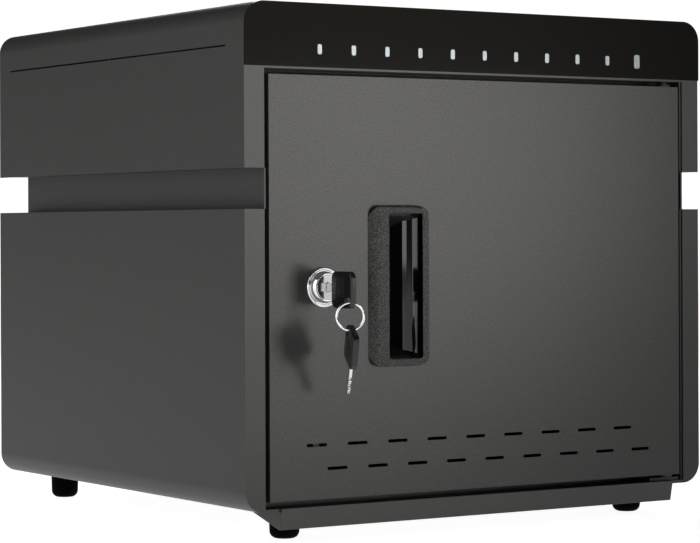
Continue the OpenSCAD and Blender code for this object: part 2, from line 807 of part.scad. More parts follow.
module bracket_stud_spots() {
    for (x = [-3, -12]) translate([pivot_x + x, bay_front - 3.5, 0]) children();
}

module lower_hinge_bracket() color(zinc) seat() bracket_plate(shell_z0 + sheet);

module upper_hinge_bracket() color(zinc) seat() bracket_plate(opening_z1 + sheet);

module lower_pivot_pin() color(chrome) seat()
    translate([pivot_x, pivot_back, lower_pin_z])
        cylinder(r = pivot_r, h = door_z0 + pin_reach - lower_pin_z);

module upper_pivot_pin() color(chrome) seat() translate([pivot_x, pivot_back, 0]) {
    translate([0, 0, door_z1 - pin_reach]) cylinder(r = pivot_r, h = upper_pin_z - door_z1 + pin_reach);
    translate([0, 0, upper_pin_z]) cylinder(r = pivot_r + 1.4, h = 1.5);
}

// Studs welded to the sheet, with their nuts, that hold the two pivot brackets.
module bracket_studs() color(zinc) seat() bracket_stud_spots()
    for (z = [shell_z0 + sheet, opening_z1 + sheet]) translate([0, 0, z]) {
        cylinder(r = m3, h = bracket_t);
        translate([0, 0, bracket_t]) cylinder(r = 2.6, h = 1.2, $fn = 6);
    }

// A flanged bush; z points into the door.
module pivot_bush() {
    difference() {
        union() {
            translate([0, 0, -bush_flange_t]) cylinder(r = bush_flange_r, h = bush_flange_t);
            cylinder(r = bush_r, h = bush_len);
        }
        translate([0, 0, -bush_flange_t - cut])
            cylinder(r = pivot_r + run_gap, h = bush_len + bush_flange_t + 2 * cut);
    }
}

module lower_pivot_bush() color("ivory") seat()
    translate([pivot_x, pivot_back, door_z0]) pivot_bush();

module upper_pivot_bush() color("ivory") seat()
    translate([pivot_x, pivot_back, door_z1]) mirror([0, 0, 1]) pivot_bush();

// ---- door -------------------------------------------------------------------------------

module vents() {
    for (i = [0 : vent_count - 1]) {
        x = -door_x + vent_inset + i * vent_pitch;
        translate([x, door_z0 + vent_rise]) slot(vent_len, vent_h);
        translate([x + vent_pitch / 2, door_z0 + vent_rise - vent_row_gap]) slot(vent_len, vent_h);
    }
}

// The hole for a barrel with two flats.
module barrel_hole(play) {
    intersection() {
        circle(barrel_r + play);
        square([2 * (flat_x + play), 4 * barrel_r], center = true);
    }
}

module door_panel() color(steel) seat() difference() {
    block([-door_x, 0, door_z0], [door_x, door_depth, door_z1]);
    block([-door_x + sheet, sheet, door_z0 + sheet], [door_x - sheet, door_depth - sheet, door_z1 - sheet]);
    block([-door_x + door_return, sheet, door_z0 + door_return],
          [door_x - door_return, door_depth + cut, door_z1 - door_return]);
    along_y(-cut, sheet + 2 * cut) {
        vents();
        translate([pull_x0 + lap, pull_z0 + lap]) square([pull_w - 2 * lap, pull_h - 2 * lap]);
        translate([lock_x, door_mid]) barrel_hole(0.1);
    }
    for (z = [door_z0 - cut, door_z1 - sheet - cut])
        translate([pivot_x, pivot_back, z]) cylinder(r = bush_r + seat_gap, h = sheet + 2 * cut);
}

// The pocket seen from above: a hollow ramp at the rim's side, then the deep part that runs on
// behind the grip.
module pocket_plan(grow) {
    back_x = pull_x0 + lap + pull_wall + 0.2;
    crease_x = mouth_x1 - ramp_w;
    rise = ramp_d + pull_proud - lip_t;
    chord = norm([ramp_w, rise]);
    lean = sqrt(ramp_r * ramp_r - chord * chord / 4) / chord;
    intersection() {
        translate([mouth_x1 - ramp_w / 2 - rise * lean, ramp_d - rise / 2 - ramp_w * lean])
            circle(ramp_r + grow);
        translate([crease_x - 1, -pull_proud - grow])
            square([ramp_w + 1 + grow, ramp_d + pull_proud + 2 * grow]);
    }
    translate([back_x - grow, lip_t - pull_proud - grow])
        square([crease_x - back_x + 2 * grow, pocket_d - lip_t + pull_proud + 2 * grow]);
    translate([mouth_x0, -pull_proud - 1]) square([mouth_x1 - mouth_x0, lip_t + 1]);
}

// The pocket seen from the side: floor and roof close in towards the back.
module pocket_side(grow) {
    rolled_in = 2.2;
    slope = 10;
    top = mouth_z0 + mouth_h;
    y = [-pull_proud - 1, -pull_proud, -pull_proud + rolled_in, pocket_d + grow];
    polygon([
        [y[0], mouth_z0 - grow], [y[1], mouth_z0 - grow], [y[2], mouth_z0 + rolled_in - grow],
        [y[3], mouth_z0 + slope - grow], [y[3], top - slope + grow], [y[2], top - rolled_in + grow],
        [y[1], top + grow], [y[0], top + grow]
    ]);
}

module pocket(grow) {
    intersection() {
        translate([0, 0, pull_z0]) linear_extrude(pull_h) pocket_plan(grow);
        along_x(pull_x0, pull_w) pocket_side(grow);
        union() {
            translate([(mouth_x0 + mouth_x1) / 2, 0, mouth_z0])
                along_y(-pull_proud - 1, 1 + lip_t) rounded_rect(mouth_x1 - mouth_x0, mouth_h, mouth_r);
            block([pull_x0, lip_t - pull_proud - grow, pull_z0], [pull_x1, 2 * pocket_d, pull_z0 + pull_h]);
        }
    }
}

// The flange seen from above: a broad roll on the grip's side and a small one at the rim.
module flange_plan() {
    roll_w = sqrt(roll_r * roll_r - pow(roll_r - pull_proud, 2));
    intersection() {
        translate([pull_x0 + roll_w, roll_r - pull_proud]) circle(roll_r);
        translate([pull_x0, -pull_proud]) square([roll_w, pull_proud]);
    }
    translate([pull_x0 + roll_w, -pull_proud]) square([pull_w - roll_w - edge_r, pull_proud]);
    translate([pull_x1 - edge_r, edge_r - pull_proud]) square([edge_r, pull_proud - edge_r]);
    translate([pull_x1 - edge_r, edge_r - pull_proud]) circle(edge_r);
}

// The flange seen from the side, with both ends rounded off.
module flange_side() {
    top = pull_z0 + pull_h;
    translate([edge_r - pull_proud, pull_z0]) square([pull_proud - edge_r, pull_h]);
    translate([-pull_proud, pull_z0 + edge_r]) square([edge_r, pull_h - 2 * edge_r]);
    for (z = [pull_z0 + edge_r, top - edge_r]) translate([edge_r - pull_proud, z]) circle(edge_r);
}

module door_handle() color(black) seat() difference() {
    union() {
        intersection() {
            translate([(pull_x0 + pull_x1) / 2, 0, pull_z0])
                along_y(-pull_proud, pull_proud) rounded_rect(pull_w, pull_h, pull_r);
            translate([0, 0, pull_z0]) linear_extrude(pull_h) flange_plan();
            along_x(pull_x0, pull_w) flange_side();
        }
        intersection() {
            pocket(pull_wall);
            block([pull_x0 + lap + 0.2, -pull_proud / 2, pull_z0 + lap + 0.2],
                  [pull_x1 - lap - 0.2, pocket_d + 3, pull_z0 + pull_h - lap - 0.2]);
        }
    }
    pocket(0);
}

// ---- lock -------------------------------------------------------------------------------

module at_lock() {
    translate([lock_x, 0, door_mid]) children();
}

// A turned piece on the lock axis, from a profile of radius and distance behind the front plane.
module turned() {
    at_lock() rotate([-90, 0, 0]) rotate_extrude() children();
}

module lock_body() color(chrome) seat() difference() {
    union() {
        turned() polygon([
            [0, 0], [rosette_d / 2, 0], [rosette_d / 2, -rim_r], [cone_r + 0.3, -rim_r],
            [cone_r, -rim_r - 0.5], [face_r + 1.6, -lock_proud + 0.6],
            [face_r + 1, -lock_proud], [0, -lock_proud]
        ]);
        turned() translate([rosette_d / 2 - rim_r, -rim_r]) circle(rim_r);
        at_lock() along_y(-cut, barrel_len + cut) barrel_hole(0);
    }
    seat_y = face_t - lock_proud + 0.2;
    turned() polygon([
        [0, -lock_proud - 1], [face_r + run_gap, -lock_proud - 1], [face_r + run_gap, seat_y],
        [plug_r + run_gap, seat_y], [plug_r + run_gap, barrel_len + 1], [0, barrel_len + 1]
    ]);
}

module lock_nut() color(zinc) seat() at_lock() difference() {
    translate([0, sheet + nut_t, 0]) rotate([90, 0, 0]) cylinder(r = nut_r, h = nut_t, $fn = 6);
    along_y(sheet - cut, nut_t + 2 * cut) circle(barrel_r + seat_gap);
}

module lock_plug() color(chrome) seat() difference() {
    union() {
        at_lock() rod_y(0, 0, -lock_proud, face_t, face_r);
        at_lock() rod_y(0, 0, -lock_proud, lock_proud + barrel_len, plug_r);
        at_lock() along_y(barrel_len, loose + cam_t - 0.1) square(tail, center = true);
    }
    at_lock() along_y(-lock_proud - 1, blade_len - key_neck + 2)
        square([blade_t + 0.3, blade_w + 0.3], center = true);
    at_lock() rod_y(0, 0, cam_y + cam_t - 8.1, 9, 2 + seat_gap);
}

// The cam: a plate with two drive pins, each with a riveted head that keeps its bar on.
module lock_cam() color(zinc) seat() at_lock() {
    difference() {
        union() {
            rod_y(0, 0, cam_y, cam_t, throw_r);
            for (turn = [45, 225]) rotate([0, turn, 0]) rod_y(throw_r, 0, cam_y, cam_t, drive_r + 2);
        }
        along_y(cam_y - cut, cam_t + 2 * cut) square(tail + 2 * seat_gap, center = true);
    }
    for (turn = [45, 225]) rotate([0, turn, 0]) {
        rod_y(throw_r, 0, cam_y + cam_t, bar_y - cam_y - cam_t + bar_t + loose, drive_r);
        rod_y(throw_r, 0, bar_y + bar_t + loose, 1.2, drive_r + 1.2);
    }
}

module cam_screw() color(zinc) seat() at_lock() {
    rod_y(0, 0, cam_y + cam_t, 2.2, tail / 2 + 1);
    rod_y(0, 0, cam_y + cam_t - 8, 8, 2);
}

// A locking bar pointing up from the lock axis; its foot carries the slot that the pin drives.
module lock_bar(reach) {
    slip = drive_r + loose;
    pin_x = throw_r * cos(45);
    pin_z = -throw_r * sin(45);
    along_y(bar_y, bar_t) difference() {
        union() {
            translate([-bar_w / 2, throw_r + 4]) square([bar_w, reach - throw_r - 6]);
            translate([-bar_w / 2 + 2, reach - 4]) square([bar_w - 4, 4]);
            for (x = [-bar_w / 2 + 2, bar_w / 2 - 2]) translate([x, reach - 2]) circle(2);
            translate([1.6, pin_z - 4.5]) square([throw_r + 2.9, throw_r + 12 - pin_z]);
        }
        for (x = [pin_x - 0.2, throw_r + 0.2]) translate([x, pin_z]) circle(slip);
        translate([pin_x - 0.2, pin_z - slip]) square([throw_r + 0.4 - pin_x, 2 * slip]);
    }
}

module upper_lock_bar() color(zinc) seat() at_lock()
    lock_bar(ceiling_z - tip_gap - door_mid);

module lower_lock_bar() color(zinc) seat() at_lock() rotate([0, 180, 0])
    lock_bar(door_mid - bay_z0 - tip_gap);

// A folded strap on the door's skin that keeps a bar in line: foot, web and closed loop.
module bar_guide(z) {
    x0 = lock_x - bar_w / 2 - loose - sheet;
    x1 = lock_x + bar_w / 2 + loose + sheet;
    y0 = bar_y - loose - sheet;
    y1 = bar_y + bar_t + loose + sheet;
    guide_h = 12;
    foot_w = 7.6;
    difference() {
        union() {
            block([x0, sheet, z - guide_h / 2], [x0 + foot_w, 2 * sheet, z + guide_h / 2]);
            block([x0, sheet, z - guide_h / 2], [x0 + sheet, y1, z + guide_h / 2]);
            block([x0, y0, z - guide_h / 2], [x1, y1, z + guide_h / 2]);
        }
        block([x0 + sheet, y0 + sheet, z - guide_h], [x1 - sheet, y1 - sheet, z + guide_h]);
        rod_y(x0 + 5.9, z, 0, 2 * sheet + cut, 1.6);
    }
}

module lower_bar_guide() color(zinc) seat() bar_guide(door_z0 + vent_rise);

module upper_bar_guide() color(zinc) seat() bar_guide(door_z1 - vent_rise);

// ---- keys -------------------------------------------------------------------------------

// A key drawn in the YZ plane with its shoulder at the origin, its blade along +Y and its head
// towards -Y. The hole sits in the head's lower outer corner.
module head_outline() {
    translate([-head_size, -head_size / 2 - 1.2]) {
        translate([head_r, 0]) square([head_size - 2 * head_r, head_size]);
        translate([0, head_r]) square([head_size, head_size - 2 * head_r]);
        for (a = [head_r, head_size - head_r], b = [head_r, head_size - head_r])
            translate([a, b]) circle(head_r);
    }
}

module key_head_shape() {
    rib_n = 5;
    difference() {
        along_x(-head_t / 2, head_t) difference() {
            head_outline();
            translate([hole_in - head_size, hole_in - head_size / 2 - 1.2]) circle(head_hole_r);
        }
        block([-blade_t / 2 - 0.02, -6, -blade_w / 2 - 0.02], [blade_t / 2 + 0.02, 1, blade_w / 2 + 0.02]);
        for (side = [-1, 1], i = [0 : rib_n - 1])
            translate([side * head_t / 2, -5.5 - i * 2.2, 0]) cube([0.8, 0.9, 13], center = true);
    }
}

// Blade outline: straight back, a row of cuts and a pointed tip.
module blade_outline() {
    cuts = [1.2, 0.4, 1.5, 0.8, 1.1];
    step = 2.2;
    start = key_neck + 1.5;
    half = blade_w / 2;
    difference() {
        polygon([
            [-6, -half], [blade_len - 3, -half], [blade_len, -half + 2.2], [blade_len, 0],
            [blade_len - 2.2, half], [-6, half]
        ]);
        for (i = [0 : len(cuts) - 1])
            translate([start + i * step, half]) rotate(45) square(cuts[i] * sqrt(2), center = true);
    }
}

module key_blade_shape() {
    along_x(-blade_t / 2, blade_t) blade_outline();
}

module at_key() {
    translate([lock_x, head_y, door_mid]) children();
}

module key_head() color(black) seat() at_key() key_head_shape();

module key_blade() color(chrome) seat() at_key() key_blade_shape();

module key_ring() color(chrome) seat()
    translate([lock_x, ring_top_y, ring_mid_z]) rotate([90, 0, -ring_turn])
        rotate_extrude() translate([ring_r, 0]) circle(ring_wire / 2, $fn = 24);

// The spare key hangs by the hole in its head's corner.
module at_spare() {
    translate([lock_x, ring_top_y, spare_hole_z]) rotate([0, 0, -spare_turn])
        rotate([-90 + spare_tilt, 0, 0]) mirror([0, 0, 1])
            translate([0, head_size - hole_in, head_size / 2 + 1.2 - hole_in]) children();
}

module spare_head() color(black) seat() at_spare() key_head_shape();

module spare_blade() color(chrome) seat() at_spare() key_blade_shape();

// ---- the part ---------------------------------------------------------------------------

upper_cover();
lower_cover();
left_liner();
right_liner();
floor_panel();
ceiling_panel();
rear_panel();
front_sill();
fascia();
bay_windows();
power_window();
indicator_board();
board_standoffs();
lower_hinge_bracket();
upper_hinge_bracket();
lower_pivot_pin();
upper_pivot_pin();
power_supply();
charge_board();
port_strip();
mains_inlet();
inlet_screws();
switch_frame();
switch_rocker();
feet();
foot_screws();
foot_nuts();
rear_screws();
bracket_studs();
bay_divider(1);  // divider_1
bay_divider(2);  // divider_2
bay_divider(3);  // divider_3
bay_divider(4);  // divider_4
bay_divider(5);  // divider_5
bay_divider(6);  // divider_6
bay_divider(7);  // divider_7
bay_divider(8);  // divider_8
bay_divider(9);  // divider_9
door_panel();
door_handle();
lower_pivot_bush();
upper_pivot_bush();
lock_body();
lock_nut();
upper_bar_guide();
lower_bar_guide();
lock_plug();
lock_cam();
cam_screw();
upper_lock_bar();
lower_lock_bar();
key_blade();
key_head();
key_ring();
spare_blade();
spare_head();
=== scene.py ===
"""Looks for the desktop charging locker: powder-coated sheet steel, a black fascia with pale windows,
a moulded pull, a chrome lock and its keys, on a pale studio floor. Metres, in the frame of the solids."""

import json
import math

import bmesh
import bpy
from mathutils import Matrix, Vector


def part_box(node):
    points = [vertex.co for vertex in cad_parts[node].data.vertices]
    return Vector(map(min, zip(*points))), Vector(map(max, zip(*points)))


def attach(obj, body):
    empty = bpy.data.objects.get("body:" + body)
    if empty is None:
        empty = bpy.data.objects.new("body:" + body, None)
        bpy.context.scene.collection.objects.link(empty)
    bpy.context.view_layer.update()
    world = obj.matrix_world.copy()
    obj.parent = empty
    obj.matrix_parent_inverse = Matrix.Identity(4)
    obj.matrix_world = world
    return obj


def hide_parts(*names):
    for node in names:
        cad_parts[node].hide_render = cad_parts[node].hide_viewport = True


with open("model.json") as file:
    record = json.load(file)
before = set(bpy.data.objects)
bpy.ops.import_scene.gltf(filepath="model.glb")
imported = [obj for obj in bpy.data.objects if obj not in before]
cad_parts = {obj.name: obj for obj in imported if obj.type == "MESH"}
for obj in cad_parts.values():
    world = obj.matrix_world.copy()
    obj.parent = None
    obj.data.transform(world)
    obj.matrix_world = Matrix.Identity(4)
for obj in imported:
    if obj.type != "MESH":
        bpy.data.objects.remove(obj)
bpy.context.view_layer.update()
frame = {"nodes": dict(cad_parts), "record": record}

MM = 0.001
SLOT_OF = {s["node"]: s["material_slot"] for s in frame["record"]["subparts"]}

# The pull: the corners of its flange, the flange's widths round the mouth, and the glossy ramp
PULL_LOW, PULL_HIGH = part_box("door_handle")
GRIP_WIDTH = 12.8 * MM
PULL_RIM = 5.5 * MM
PULL_END_RIM = 4.3 * MM
RAMP_WIDTH = 8 * MM
RAMP_DEPTH = 11.2 * MM
MOUTH_LOW = Vector((PULL_LOW.x + GRIP_WIDTH, PULL_LOW.y, PULL_LOW.z + PULL_END_RIM))
MOUTH_HIGH = Vector((PULL_HIGH.x - PULL_RIM, PULL_HIGH.y, PULL_HIGH.z - PULL_END_RIM))

# The lock's face and rosette: the bead round its rim, then a cone up to the face
PLUG_FACE_R = 7.6 * MM
PLUG_PLAY = 0.06 * MM
BEAD_R = 0.9 * MM
BEAD_END = -150
CONE_FOOT_RISE = 1.6 * MM
CONE_FOOT_OVERLAP = 0.1 * MM
FACE_RIM = 0.9 * MM
FACE_FILLET = 0.3 * MM
BORE_EDGE = 0.2 * MM

# The lock's threaded barrel, with two flats
BARREL_R = 9 * MM
BARREL_FLAT = 7.8 * MM
BARREL_BORE = 6.06 * MM
THREAD_START = 2 * MM
THREAD_PITCH = 1 * MM
THREAD_DEPTH = 0.35 * MM

# The key ring: its flattened wire, the gap between its turns, the angle in degrees at which its ends
# lie, and how steeply one turn steps across to the next
RING_WIRE_WIDTH = 1.3 * MM
RING_WIRE_THICK = 0.637 * MM
RING_WIRE_GAP = 0.033 * MM
RING_TURNS = 2
RING_END = 25
RING_STEPS = 200
RING_STEP_RATE = 14
WIRE_SIDES = 12

# The keys' plastic heads, the grooves in their faces, and how the spare key hangs
HEAD_CORNER = 4.5 * MM
HEAD_EDGE = 0.6 * MM
HOLE_IN = 4 * MM
HOLE_R = 2.9 * MM
GROOVES = 5
GROOVE_FIRST = 5.5 * MM
GROOVE_PITCH = 2.2 * MM
GROOVE_MIDDLE = 1.2 * MM
GROOVE_HALF_WIDTH = 0.45 * MM
GROOVE_HALF_LENGTH = 6.5 * MM
GROOVE_CORNER = 0.4 * MM
GROOVE_DEPTH = 0.4 * MM
GROOVE_DRAFT = 0.15 * MM
GROOVE_END_DRAFT = 0.2 * MM
BLADE_PLAY = 0.02 * MM
SPARE_TURN = math.radians(20.3)
SPARE_TILT = math.radians(24)

# Cross-head screws: the head's heights, the shank, and the recess as shares of the head
REAR_HEAD_H = 1.8 * MM
INLET_HEAD_H = 1.4 * MM
SHANK_R = 1.5 * MM
DOME_SHARE = 0.45
ARM_SHARE = 0.6
ARM_FOOT_SHARE = 0.45
ARM_WIDTH_SHARE = 0.13
RECESS_SHARE = 0.75
RECESS_TOP_SHARE = 1.2
POLE_R = 0.001 * MM

# ---- camera, at the photograph's place ----------------------------------------------------

PHOTO_WIDTH = 700
FOCAL_PX = 2592.53
SENSOR_MM = 36
CAMERA_AT = Vector((-0.95454, -1.471614, 0.18864))
CAMERA_YAW = 0.572219
CAMERA_ROLL = 0.004224
AXIS_ABOVE_MIDDLE_PX = 43.38


def make_camera():
    data = bpy.data.cameras.new("camera")
    data.sensor_width = SENSOR_MM
    data.lens = FOCAL_PX / PHOTO_WIDTH * SENSOR_MM
    data.shift_y = -AXIS_ABOVE_MIDDLE_PX / PHOTO_WIDTH
    data.clip_start = 0.05
    camera = bpy.data.objects.new("camera", data)
    camera.location = CAMERA_AT
    camera.rotation_euler = (math.pi / 2, CAMERA_ROLL, -CAMERA_YAW)
    bpy.context.scene.collection.objects.link(camera)
    bpy.context.scene.camera = camera


# ---- studio -------------------------------------------------------------------------------

STUDIO_SIZE = 6


def glowing(name, strength):
    """A plain white surface that also gives off light, as a lit seamless backdrop does."""
    material = bpy.data.materials.new(name)
    material.use_nodes = True
    shader = material.node_tree.nodes["Principled BSDF"]
    shader.inputs["Base Color"].default_value = (0.9, 0.9, 0.9, 1)
    shader.inputs["Roughness"].default_value = 0.9
    shader.inputs["Emission Color"].default_value = (1, 1, 1, 1)
    shader.inputs["Emission Strength"].default_value = strength
    return material


def staged(name, mesh):
    obj = bpy.data.objects.new(name, mesh)
    bpy.context.scene.collection.objects.link(obj)
    return obj


def make_floor():
    """A pale floor that takes shadows. Shiny surfaces see it, and it lights no matt ones."""
    r = STUDIO_SIZE
    mesh = bpy.data.meshes.new("floor")
    mesh.from_pydata([(-r, -r, 0), (r, -r, 0), (r, r, 0), (-r, r, 0)], [], [(0, 1, 2, 3)])
    mesh.materials.append(glowing("floor", 0.93))
    floor = staged("floor", mesh)
    floor.visible_diffuse = False


def make_backdrop():
    """A white dome behind everything. It only fills the background, and lights nothing."""
    mesh = bpy.data.meshes.new("backdrop")
    dome = bmesh.new()
    bmesh.ops.create_icosphere(dome, subdivisions=3, radius=STUDIO_SIZE)
    dome.to_mesh(mesh)
    dome.free()
    mesh.materials.append(glowing("backdrop", 1))
    backdrop = staged("backdrop", mesh)
    backdrop.visible_diffuse = False
    backdrop.visible_glossy = False
    backdrop.visible_transmission = False
    backdrop.visible_shadow = False


def area_light(name, place, target, size, power, spread=180):
    """A rectangular lamp aimed at target; a spread under 180 degrees narrows its beam."""
    data = bpy.data.lights.new(name, "AREA")
    data.shape = "RECTANGLE"
    data.size, data.size_y = size
    data.energy = power
    data.spread = math.radians(spread)
    light = bpy.data.objects.new(name, data)
    light.location = place
    light.rotation_euler = (Vector(target) - Vector(place)).to_track_quat("-Z", "Y").to_euler()
    bpy.context.scene.collection.objects.link(light)
    return light


def make_world():
    world = bpy.data.worlds.new("studio")
    world.use_nodes = True
    background = world.node_tree.nodes["Background"]
    background.inputs["Color"].default_value = (1, 1, 1, 1)
    background.inputs["Strength"].default_value = 0.07
    bpy.context.scene.world = world
    bpy.context.scene.view_settings.view_transform = "Standard"


def make_lights():
    """A low lamp at the front right throws the lock's shadow. Two more light the side and the rear."""
    low = area_light("low_right", (0.32, -0.92, 0.06), (-0.19, -0.146, 0.34), (0.2, 0.26), 1.95, spread=50)
    low.visible_glossy = False
    area_light("side", (-1.6, 0.75, 0.75), (-0.17, 0.05, 0.22), (0.9, 0.9), 4)
    area_light("rear", (0.9, 1.5, 0.9), (0.05, 0.1, 0.2), (0.8, 0.8), 9)


def card(name, centre, target, width, height, strength):
    """A sheet that only shiny surfaces see, facing target."""
    mesh = bpy.data.meshes.new(name)
    x, y = width / 2, height / 2
    mesh.from_pydata([(-x, -y, 0), (x, -y, 0), (x, y, 0), (-x, y, 0)], [], [(0, 1, 2, 3)])
    mesh.materials.append(glowing(name, strength))
    sheet = staged(name, mesh)
    sheet.location = centre
    sheet.rotation_euler = (Vector(target) - Vector(centre)).to_track_quat("Z", "Y").to_euler()
    sheet.visible_camera = False
    sheet.visible_diffuse = False
    sheet.visible_shadow = False


def make_cards():
    """White sheets that show in the chrome and in the pull's glossy pocket."""
    lock = (-0.12, -0.15, 0.15)
    card("card_right", (0.22, -0.62, 0.22), lock, 0.3, 0.12, 2.4)
    card("card_pocket", (-0.32, -0.72, 0.185), (-0.06, -0.15, 0.17), 0.26, 0.06, 2.8)
    card("card_pocket_low", (-0.3, -0.74, 0.1), (-0.06, -0.15, 0.15), 0.12, 0.06, 1)
    card("card_left", (-0.75, -0.45, 0.22), lock, 0.2, 0.3, 2.2)
    card("card_front", (-0.14, -0.85, 0.42), lock, 0.22, 0.2, 2)
    card("card_side", (-1, -0.27, 0.5), lock, 0.36, 0.86, 2)


# ---- materials ----------------------------------------------------------------------------


def new_material(name):
    """A node material: its node tree, its shader and a helper that adds nodes to it."""
    material = bpy.data.materials.new(name)
    material.use_nodes = True
    tree = material.node_tree

    def add(kind, **values):
        node = tree.nodes.new(kind)
        for key, value in values.items():
            if key in node.inputs:
                node.inputs[key].default_value = value
            else:
                setattr(node, key, value)
        return node

    return material, tree, tree.nodes["Principled BSDF"], add


def object_noise(tree, add, size, detail=2):
    """Noise with features of this size in metres, fixed to the piece."""
    place = add("ShaderNodeTexCoord")
    noise = add("ShaderNodeTexNoise", Scale=1 / size, Detail=detail)
    tree.links.new(place.outputs["Object"], noise.inputs["Vector"])
    return noise


def tint(tree, add, noise, color, spread, band=0.2):
    """A colour that varies by spread either way with the noise, over a band of its values."""
    ramp = add("ShaderNodeValToRGB")
    ramp.color_ramp.elements[0].position = 0.5 - band
    ramp.color_ramp.elements[1].position = 0.5 + band
    ramp.color_ramp.elements[0].color = [c * (1 - spread) for c in color] + [1]
    ramp.color_ramp.elements[1].color = [c * (1 + spread) for c in color] + [1]
    tree.links.new(noise.outputs["Fac"], ramp.inputs["Fac"])
    return ramp.outputs["Color"]


def bump(tree, add, shader, noise, strength, height):
    node = add("ShaderNodeBump", Strength=strength, Distance=height)
    tree.links.new(noise.outputs["Fac"], node.inputs["Height"])
    tree.links.new(node.outputs["Normal"], shader.inputs["Normal"])
    return node


def powder_coat(name, color, roughness=0.5, grain=0.9 * MM, spread=0.16, strength=0.35):
    """Baked powder paint: a fine orange-peel grain over an even colour."""
    material, tree, shader, add = new_material(name)
    noise = object_noise(tree, add, grain)
    tree.links.new(tint(tree, add, noise, color, spread), shader.inputs["Base Color"])
    shader.inputs["Roughness"].default_value = roughness
    bump(tree, add, shader, noise, strength, 0.15 * MM)
    return material


def polished(name, color, roughness=0.08):
    """Plated metal with the faint waviness of polishing."""
    material, tree, shader, add = new_material(name)
    noise = object_noise(tree, add, 4 * MM)
    tree.links.new(tint(tree, add, noise, color, 0.03), shader.inputs["Base Color"])
    shader.inputs["Metallic"].default_value = 1
    shader.inputs["Roughness"].default_value = roughness
    bump(tree, add, shader, noise, 0.005, 0.02 * MM)
    return material


def plated(name, color, roughness=0.32):
    """Zinc or nickel plate: metal with a cloudy grain."""
    material, tree, shader, add = new_material(name)
    noise = object_noise(tree, add, 1.5 * MM, detail=4)
    tree.links.new(tint(tree, add, noise, color, 0.12), shader.inputs["Base Color"])
    shader.inputs["Metallic"].default_value = 1
    shader.inputs["Roughness"].default_value = roughness
    bump(tree, add, shader, noise, 0.1, 0.05 * MM)
    return material


def moulded(name, color, roughness=0.45, grain=0.5 * MM, strength=0.2, specular=0.5):
    """Moulded plastic or rubber with an eroded texture."""
    material, tree, shader, add = new_material(name)
    noise = object_noise(tree, add, grain)
    tree.links.new(tint(tree, add, noise, color, 0.1), shader.inputs["Base Color"])
    shader.inputs["Roughness"].default_value = roughness
    shader.inputs["Specular IOR Level"].default_value = specular
    bump(tree, add, shader, noise, strength, 0.08 * MM)
    return material


def inside_box(tree, add, low, high):
    """1 inside a box that is fixed to the piece and 0 outside it."""
    place = add("ShaderNodeTexCoord")
    axes = add("ShaderNodeSeparateXYZ")
    tree.links.new(place.outputs["Object"], axes.inputs["Vector"])
    product = None
    for axis, least, most in zip("XYZ", low, high):
        for operation, limit in (("GREATER_THAN", least), ("LESS_THAN", most)):
            test = add("ShaderNodeMath", operation=operation)
            tree.links.new(axes.outputs[axis], test.inputs[0])
            test.inputs[1].default_value = limit
            if product is None:
                product = test.outputs["Value"]
                continue
            both = add("ShaderNodeMath", operation="MULTIPLY")
            tree.links.new(product, both.inputs[0])
            tree.links.new(test.outputs["Value"], both.inputs[1])
            product = both.outputs["Value"]
    return product


def pick(tree, add, chooser, no, yes):
    """The value no where chooser is 0 and yes where it is 1."""
    ramp = add("ShaderNodeMapRange")
    ramp.inputs["To Min"].default_value = no
    ramp.inputs["To Max"].default_value = yes
    tree.links.new(chooser, ramp.inputs["Value"])
    return ramp.outputs["Result"]


def pull_moulding():
    """The pull: a coarsely textured flange round a glossy pocket whose colour is much darker than the
    flange's, partly its smooth black moulding and partly painted shade of the recess.
    """
    material, tree, shader, add = new_material("pull_plastic")
    play = 0.4 * MM
    low = MOUTH_LOW + Vector((-play, 0.6 * MM, -play))
    pocket_and_painted_shade = inside_box(tree, add, low, MOUTH_HIGH + Vector((play, 0, play)))
    crease = Vector((MOUTH_HIGH.x - RAMP_WIDTH - play, low.y, low.z))
    ramp = inside_box(tree, add, crease, Vector((MOUTH_HIGH.x, MOUTH_LOW.y + RAMP_DEPTH, MOUTH_HIGH.z)))
    noise = object_noise(tree, add, 0.85 * MM, detail=3)
    grain = tint(tree, add, noise, (0.022, 0.0215, 0.02), 1, band=0.05)
    # Painted shade: the pocket takes a near-black colour, far darker than the flange's grain, for the
    # shade inside the recess.
    mix = add("ShaderNodeMix", data_type="RGBA")
    tree.links.new(pocket_and_painted_shade, mix.inputs["Factor"])
    tree.links.new(grain, mix.inputs["A"])
    mix.inputs["B"].default_value = (0.003, 0.003, 0.003, 1)
    tree.links.new(mix.outputs["Result"], shader.inputs["Base Color"])
    tree.links.new(pick(tree, add, ramp, 0.55, 0.07), shader.inputs["Roughness"])
    grained = bump(tree, add, shader, noise, 1, 0.2 * MM)
    tree.links.new(pick(tree, add, pocket_and_painted_shade, 0.8, 0.01), grained.inputs["Strength"])
    return material


def lens(name, color, painted_glow):
    """A milky window whose colour also glows evenly by itself, as painted light: no lamp stands behind it.
    """
    material, tree, shader, add = new_material(name)
    noise = object_noise(tree, add, 3 * MM)
    tree.links.new(tint(tree, add, noise, color, 0.02), shader.inputs["Base Color"])
    shader.inputs["Roughness"].default_value = 0.25
    shader.inputs["Subsurface Weight"].default_value = 0.3
    # Painted light: the window gives off a faint glow of its own colour, as if lit from behind.
    shader.inputs["Emission Color"].default_value = (*color, 1)
    shader.inputs["Emission Strength"].default_value = painted_glow
    return material


